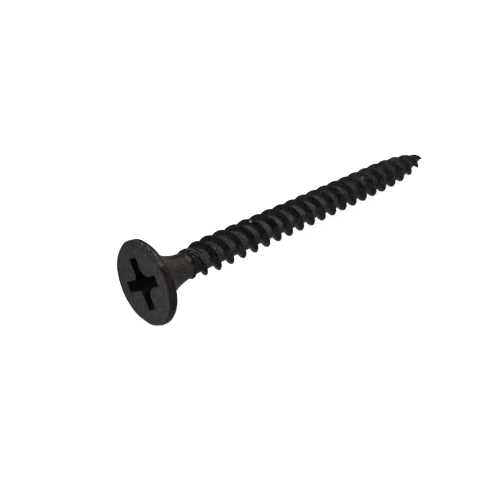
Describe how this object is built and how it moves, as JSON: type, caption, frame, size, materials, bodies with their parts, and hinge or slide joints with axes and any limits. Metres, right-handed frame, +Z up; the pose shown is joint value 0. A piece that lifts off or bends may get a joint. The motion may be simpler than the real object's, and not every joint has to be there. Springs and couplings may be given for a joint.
{
  "type": "drywall screw",
  "caption": "Bugle-head drywall screw with a cross recess in its flat face, a fine twin-start thread and a sharp point, for fixing plasterboard to thin steel studs.",
  "frame": {"origin": "on the surface that the screw lies on, under the middle of its bounding box", "axes": "+X from the head towards the point, seen from above, +Z up; the screw's own axis slopes 4.35 degrees down towards the point"},
  "size_m": [0.0402, 0.0082, 0.0082],
  "materials": {
    "black_phosphate": "dull black phosphate on hardened steel"
  },
  "bodies": {
    "root": {"screw": "black_phosphate"}
  },
  "joints": []
}
